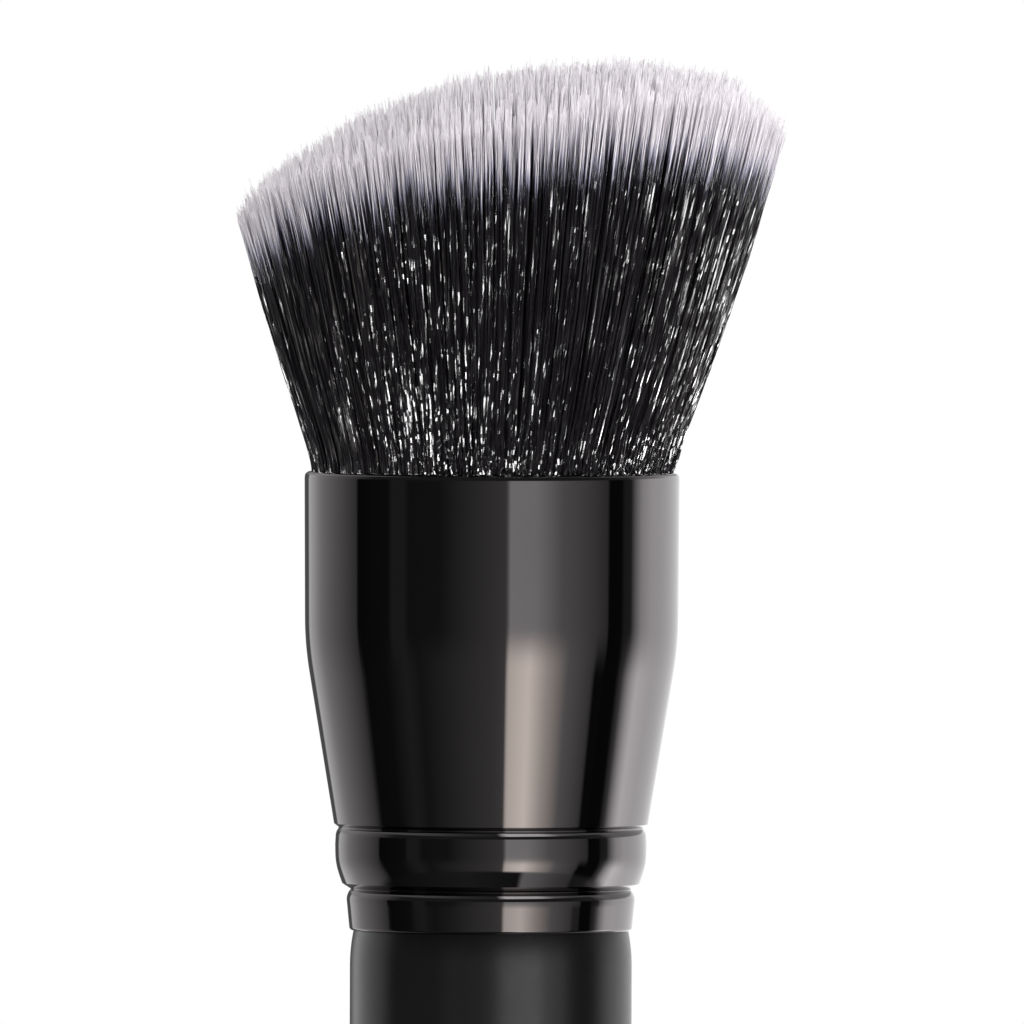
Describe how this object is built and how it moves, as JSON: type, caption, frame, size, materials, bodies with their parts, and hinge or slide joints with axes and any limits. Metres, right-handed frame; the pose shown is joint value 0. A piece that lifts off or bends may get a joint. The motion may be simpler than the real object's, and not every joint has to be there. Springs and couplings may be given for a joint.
{
  "type": "face brush",
  "caption": "Dense flared face brush with a slanted two-tone tuft, a stepped metal ferrule and a plain turned handle that stands on its flat end.",
  "frame": {"origin": "middle of the flat end face of the handle, on which the brush stands", "axes": "+Z along the handle's axis towards the tuft, +X towards the longer side of the slanted tuft, +Y away from the viewer of the picture"},
  "size_m": [0.0405, 0.0422, 0.1601],
  "materials": {
    "handle": "matt black lacquer",
    "ferrule": "polished, plated black like gunmetal",
    "bristles": "fine black filaments with pale grey to white tips",
    "glue": "clear amber set glue",
    "thread": "undyed binding thread"
  },
  "bodies": {
    "root": {"handle": "handle", "ferrule": "ferrule", "bristle_tuft": "bristles", "root_plug": "glue", "bead_glue": "glue", "tenon_glue": "glue", "root_binding": "thread"}
  },
  "joints": []
}
